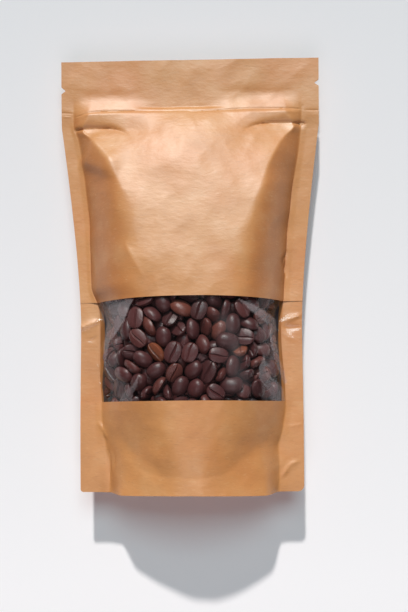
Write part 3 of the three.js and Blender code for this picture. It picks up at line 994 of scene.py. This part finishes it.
class POUCH_OT_beans(bpy.types.Operator):
    """Adds the roasted beans behind the window, packed against the film, and the dark heap under them"""

    bl_idname = "pouch.beans"
    bl_label = "Coffee Beans"

    VARIANTS = 5  # beans that are modelled, of which the rest are copies
    FACETS, RINGS = 14, 8
    STRAY = ((0.93, 1.07), (0.93, 1.07), (0.92, 1.1))  # of a bean's length, width and height
    BLUNT = 0.8  # less makes the ends blunter
    FLAT_SIDE, DOMED_SIDE = 0.42, 1.58 * 0.78  # how high its two sides stand
    CREASE = (0.0, 0.13, 0.42, 0.95)  # the angles to which the facets beside the crease crowd
    CREASE_DEPTH, CREASE_WAVER = 0.30, 0.07
    # The plain bean of the pouring, and how high it stands above and below its middle
    LUMP_FACETS, LUMP_RINGS, LUMP_ABOVE, LUMP_BELOW = 8, 6, 1.3, 0.62

    SCALE = 10.0  # the pouring runs at ten times the size, where it is steadier
    FRAMES, SUBSTEPS, ITERATIONS = 46, 6, 10
    TRAY_FRICTION, TRAY_MARGIN = 0.4, 0.003
    FRICTION, MARGIN, MASS, DAMPING, SPIN_DAMPING = 0.5, 0.0005, 0.1, 0.1, 0.3
    # The beans start in layers, in mm: how many lie across and along and how far apart all three ways, how
    # far each is nudged, how high the first layer is, and how far above the window's middle they are
    ACROSS, ALONG, APART = 9, 7, (10.8, 10.2, 9)
    NUDGE, START, ABOVE = 2, -22, 4
    # The tray, in mm: how far it reaches beyond the window and stays clear of the film, and its walls
    BEYOND, CLEAR, WALL = 9.0, 0.5, 200.0
    TRAY_CELLS, TRAY_STEP = 60, 2.5
    # The beans that are kept, in mm: how high they lie, how far below the film, and how far off the back,
    # which is measured a little beside them
    DEEP, THINNEST, OFF_BACK, REACH = 12.0, 1.8, 2, 3.5
    SCALED, TONES = (0.95, 1.04), (0.05, 0.6)  # of each copy
    # Beans that stand out by their roast: (x and y in mm, tone), and how high they lie
    LIGHTER_HEIGHT = 44.0
    LIGHTER = [(-2.0, -17.0, 0.78), (-18.8, -38.9, 0.86), (12.7, -24.2, 0.72), (23.4, -34.7, 0.84),
               (-22.0, -24.5, 0.66), (-11.6, -44.6, 0.62)]

    # The core: its start, end and step in mm, its columns, and the share of the width that it fills
    CORE_RUNS, CORE_COLUMNS, CORE_WIDE = (32, 165, 2.5), 41, 0.96
    # How far it stays under the front and over the back, and its least thickness
    UNDER_FRONT, OVER_BACK, CORE_THINNEST = 2.0, 1.0, 0.5
    # Its height under the loose beans, and how far past them and over what run it rises to the front
    LEVEL, RISE_AFTER, RISE_OVER = 21.0, 1, 4

    def ball(self, segments, rings, radius):
        """The mesh of a sphere primitive whose poles lie along X."""
        deselect_all()
        bpy.ops.mesh.primitive_uv_sphere_add(
            segments=segments, ring_count=rings, radius=radius, rotation=(0, math.pi / 2, 0)
        )
        piece = bpy.context.object
        bpy.ops.object.transform_apply(rotation=True)
        mesh = piece.data
        bpy.data.objects.remove(piece)
        return mesh

    def bean(self, number, sizes, rng):
        """The mesh of one bean in metres, flat side down along -Z, with its crease along X."""
        mesh = self.ball(self.FACETS, self.RINGS, 1.0)
        half = np.array([sizes.length, sizes.width, sizes.height]) / 2
        half = half * np.array([rng.uniform(*stray) for stray in self.STRAY])
        co = np.zeros(len(mesh.vertices) * 3)
        mesh.vertices.foreach_get("co", co)
        co = co.reshape(-1, 3)
        ring = np.hypot(co[:, 1], co[:, 2]) ** self.BLUNT
        around = np.arctan2(co[:, 1], -co[:, 2])  # 0 on the crease
        facet = math.tau / self.FACETS
        from_crease = np.abs(around) / facet
        facets = [i * facet for i in range(len(self.CREASE))]
        around = np.sign(around) * np.interp(np.abs(around), [*facets, math.pi], [*self.CREASE, math.pi])
        x, y, z = co[:, 0], ring * np.sin(around), -ring * np.cos(around)
        z = np.where(z < 0, z * self.FLAT_SIDE, z * self.DOMED_SIDE)
        z = z + self.CREASE_DEPTH * ring * (from_crease < 0.5)
        waver = self.CREASE_WAVER * (-1 if number % 2 else 1)
        y = y + waver * np.sin(math.pi * x) * (from_crease < 2.5)
        co = np.stack([x, y, z], axis=-1) * half
        mesh.vertices.foreach_set("co", co.astype(np.float32).ravel())
        mesh.update()
        mesh.name = f"bean_shape_{number}"
        return mesh

    def tray(self, shape):
        """The inside of the front around the window, upside down, with high walls: the beans are poured
        into it, so they settle against the film as they do in the pouch."""
        low, high = shape.window_bottom - self.BEYOND, shape.window_top + self.BEYOND
        runs = rows_between((low, high, self.TRAY_STEP))
        x, across, over = shape.columns(runs[:, 0], 0, self.TRAY_CELLS, film=True)
        points = shape.front(x, across, over, runs, film=True)
        points[..., 2] -= self.CLEAR
        points = np.pad(points, ((1, 1), (1, 1), (0, 0)), mode="edge")
        for edge in (points[0], points[-1], points[:, 0], points[:, -1]):
            edge[:, 2] = -self.WALL
        tray = grid(points * [1, -1, -1] * (MM * self.SCALE))
        select(tray)
        bpy.ops.rigidbody.object_add(type="PASSIVE")
        body = tray.rigid_body
        body.collision_shape, body.friction = "MESH", self.TRAY_FRICTION
        body.use_margin, body.collision_margin = True, self.TRAY_MARGIN
        return tray

    def lump(self, sizes):
        """The mesh of a plain bean for the pouring."""
        mesh = self.ball(self.LUMP_FACETS, self.LUMP_RINGS, 0.5)
        for vertex in mesh.vertices:
            x, y, z = vertex.co
            z = z * (self.LUMP_ABOVE if z > 0 else self.LUMP_BELOW)
            vertex.co = Vector((x * sizes.length, y * sizes.width, z * sizes.height)) * self.SCALE
        return mesh

    def pour(self, shape, sizes, rng):
        """Lets the beans fall into the upturned front. Gives each one's place and turn, in metres."""
        scene = bpy.context.scene
        lump = self.lump(sizes)
        bpy.ops.rigidbody.world_add()
        world = scene.rigidbody_world
        world.substeps_per_frame, world.solver_iterations = self.SUBSTEPS, self.ITERATIONS
        world.point_cache.frame_end = self.FRAMES
        tray = self.tray(shape)
        middle = (shape.window_bottom + shape.window_top - shape.length) / 2 + self.ABOVE
        beans = []
        for i in range(sizes.count):
            layer, spot = divmod(i, self.ACROSS * self.ALONG)
            bean = bpy.data.objects.new("falling_bean", lump.copy())
            scene.collection.objects.link(bean)
            row, column = divmod(spot, self.ACROSS)
            x = (column - self.ACROSS // 2) * self.APART[0] + rng.uniform(-self.NUDGE, self.NUDGE)
            y = (row - self.ALONG // 2) * self.APART[1] + rng.uniform(-self.NUDGE, self.NUDGE) - middle
            bean.location = Vector((x, y, layer * self.APART[2] + self.START)) * (MM * self.SCALE)
            bean.rotation_euler = [rng.uniform(0, math.tau) for _ in range(3)]
            beans.append(bean)
        select(*beans)
        bpy.ops.rigidbody.objects_add(type="ACTIVE")
        for bean in beans:
            body = bean.rigid_body
            body.collision_shape, body.friction, body.mass = "CONVEX_HULL", self.FRICTION, self.MASS
            body.use_margin, body.collision_margin = True, self.MARGIN
            body.linear_damping, body.angular_damping = self.DAMPING, self.SPIN_DAMPING
        for number in range(1, self.FRAMES + 1):
            scene.frame_set(number)
        upright = Matrix.Diagonal((1, -1, -1, 1))
        places = []
        for bean in beans:
            placed = bean.matrix_world.copy()
            placed.translation /= self.SCALE
            places.append(upright @ placed)
        bpy.ops.rigidbody.world_remove()
        for piece in [*beans, tray]:
            bpy.data.objects.remove(piece)
        scene.frame_set(1)
        return places

    def in_sight(self, shape, place):
        """Whether a poured bean stayed between the film and the back, high enough in the heap to be seen."""
        x, y, z = place.translation / MM
        run = y + shape.length / 2
        if not shape.window_bottom - self.BEYOND < run < shape.window_top + self.BEYOND:
            return False
        x = np.float64(x)
        film = shape.seal_height(run) + shape.front_height(x, run, film=True)
        beside = x + math.copysign(self.REACH, x)
        back = shape.back(beside, beside / shape.bulge_half(run, 1), run)[..., 2]
        return self.DEEP < z < film - self.THINNEST and z > back + self.OFF_BACK

    def execute(self, context):
        shape, sizes = shape_now(), context.scene.pouch_beans
        rng = random.Random(sizes.seed)
        meshes = [self.bean(number, sizes, rng) for number in range(self.VARIANTS)]
        places = [place for place in self.pour(shape, sizes, rng) if self.in_sight(shape, place)]
        tones = {}
        for x, y, tone in self.LIGHTER:
            spot = Vector((x, y, self.LIGHTER_HEIGHT)) * MM
            tones[min(range(len(places)), key=lambda i: (places[i].translation - spot).length)] = tone
        copies = []
        for i, place in enumerate(places):
            mesh = meshes[i % self.VARIANTS].copy()
            mesh.transform(place @ Matrix.Scale(rng.uniform(*self.SCALED), 4))
            tone = tones.get(i, rng.uniform(*self.TONES))
            point_values(mesh, "roast", [tone] * len(mesh.vertices))
            copy = bpy.data.objects.new("bean", mesh)
            context.scene.collection.objects.link(copy)
            copies.append(copy)
        select(*copies)
        bpy.ops.object.join()
        beans = context.object
        beans.name = beans.data.name = "coffee_beans_behind_window"
        material = shared_material("roasted_coffee_bean", bean_material, context.scene.pouch_finishes)
        finish_piece(beans, material, ["coffee_beans"])
        beans.data.shade_smooth()
        self.add_core(shape)
        return {"FINISHED"}

    def add_core(self, shape):
        """The rest of the heap, which fills the pouch under the loose beans and beyond the window."""
        runs = rows_between(self.CORE_RUNS)
        across = np.linspace(-self.CORE_WIDE, self.CORE_WIDE, self.CORE_COLUMNS)
        across = np.broadcast_to(across, (len(runs), self.CORE_COLUMNS))
        x = across * shape.bulge_half(runs, 1)
        on_bulge = np.zeros_like(x)
        top, bottom = shape.front(x, across, on_bulge, runs), shape.back(x, across, runs)
        beyond = np.maximum(shape.window_bottom - runs, runs - shape.window_top)
        rising = smooth((beyond - self.BEYOND - self.RISE_AFTER) / self.RISE_OVER)
        bottom[..., 2] += self.OVER_BACK
        highest = top[..., 2] - self.UNDER_FRONT
        height = mix(np.minimum(highest, self.LEVEL), highest, rising)
        top[..., 2] = np.maximum(height, bottom[..., 2] + self.CORE_THINNEST)
        core = grid(top * MM)
        core.name = core.data.name = "coffee_beans_core"
        apply_modifier(core, "SOLIDIFY", thickness=MM, offset=-1.0)
        co = np.zeros(len(core.data.vertices) * 3)
        core.data.vertices.foreach_get("co", co)
        co[top.size :] = bottom.ravel() * MM  # the modifier's second half is the underside
        core.data.vertices.foreach_set("co", co)
        core.data.update()
        finish_piece(core, shared_material("beans_in_shade", core_material))


class POUCH_OT_stage(bpy.types.Operator):
    """Adds the table, the lights and the camera"""

    bl_idname = "pouch.stage"
    bl_label = "Stage"

    FLOOR = 6.0
    # The sun's direction, strength, width in degrees and colour
    SUN = (Vector((-0.077, 0.802, 0.592)), 2.78, 2.5, (1.0, 0.98, 0.945))
    # name, degrees round from +Y towards -X, degrees up, distance, size, radiance and colour
    SOFTBOXES = [
        ("north_softbox", -5.0, 60.0, 3.2, (1.4, 1.2), 6.85, (0.69, 0.955, 1.0)),
        ("south_softbox", 176.0, 60.0, 0.8, (0.45, 0.4), 2.15, (1.0, 0.84, 0.87)),
    ]
    ROOM, ROOM_STRENGTH = (1.0, 0.91, 0.94, 1.0), 0.055
    # Where the camera stands, and how far it is turned about the way it looks, which is straight down
    CAMERA, CAMERA_TURN, LENS, SENSOR = (0.0062, -0.016, 0.447), -0.85, 50.0, 36.0

    def execute(self, context):
        scene = context.scene
        deselect_all()
        bpy.ops.mesh.primitive_plane_add(size=self.FLOOR)
        floor = context.object
        floor.name = "table_top"
        floor.data.materials.append(floor_material())

        towards, strength, wide, tint = self.SUN
        bpy.ops.object.light_add(type="SUN")
        sun = context.object
        sun.rotation_euler = towards.to_track_quat("Z", "Y").to_euler()
        sun.data.energy, sun.data.angle, sun.data.color = strength, math.radians(wide), tint

        for softbox in self.SOFTBOXES:
            self.softbox(*softbox)

        world = bpy.data.worlds.new("studio")
        scene.world = world
        world.use_nodes = True
        background = world.node_tree.nodes["Background"]
        background.inputs["Color"].default_value = self.ROOM
        background.inputs["Strength"].default_value = self.ROOM_STRENGTH

        bpy.ops.object.camera_add(location=self.CAMERA, rotation=(0, 0, math.radians(self.CAMERA_TURN)))
        camera = context.object
        camera.data.lens, camera.data.sensor_width = self.LENS, self.SENSOR
        scene.camera = camera
        scene.view_settings.view_transform = "Standard"
        return {"FINISHED"}

    def softbox(self, name, azimuth, elevation, distance, size, radiance, tint):
        """A rectangular light that faces the pouch."""
        turn, lift = math.radians(azimuth), math.radians(elevation)
        away = Vector((-math.sin(turn) * math.cos(lift), math.cos(turn) * math.cos(lift), math.sin(lift)))
        bpy.ops.object.light_add(type="AREA", location=away * distance)
        box = bpy.context.object
        box.name = box.data.name = name
        box.rotation_euler = away.to_track_quat("Z", "Y").to_euler()
        box.data.shape = "RECTANGLE"
        box.data.color = tint
        box.data.size, box.data.size_y = size
        box.data.energy = radiance * math.pi * size[0] * size[1]


class POUCH_PT_panel(bpy.types.Panel):
    """Lists the pieces of the pouch and its sizes"""

    bl_idname = "POUCH_PT_panel"
    bl_label = "Coffee Pouch"
    bl_space_type = "VIEW_3D"
    bl_region_type = "UI"
    bl_category = "Pouch"

    def draw(self, context):
        for group in ("pouch_sizes", "pouch_beans", "pouch_finishes"):
            values = getattr(context.scene, group)
            for name in values.__annotations__:
                self.layout.prop(values, name)
        for operator in PIECES:
            self.layout.operator(operator.bl_idname)


GROUPS = {"pouch_sizes": PouchSizes, "pouch_beans": BeanSizes, "pouch_finishes": Finishes}
PIECES = [
    POUCH_OT_front_upper,
    POUCH_OT_front_lower,
    POUCH_OT_window,
    POUCH_OT_back,
    POUCH_OT_gusset,
    POUCH_OT_beans,
    POUCH_OT_stage,
]


def register():
    for cls in [*GROUPS.values(), *PIECES, POUCH_PT_panel]:
        bpy.utils.register_class(cls)
    for name, group in GROUPS.items():
        setattr(bpy.types.Scene, name, PointerProperty(type=group))


def unregister():
    for name in GROUPS:
        delattr(bpy.types.Scene, name)
    for cls in reversed([*GROUPS.values(), *PIECES, POUCH_PT_panel]):
        bpy.utils.unregister_class(cls)


def main():
    register()
    bpy.ops.pouch.front_upper()
    bpy.ops.pouch.front_lower()
    bpy.ops.pouch.window()
    bpy.ops.pouch.back()
    bpy.ops.pouch.gusset()
    bpy.ops.pouch.beans()
    bpy.ops.pouch.stage()


if __name__ == "__main__":
    main()
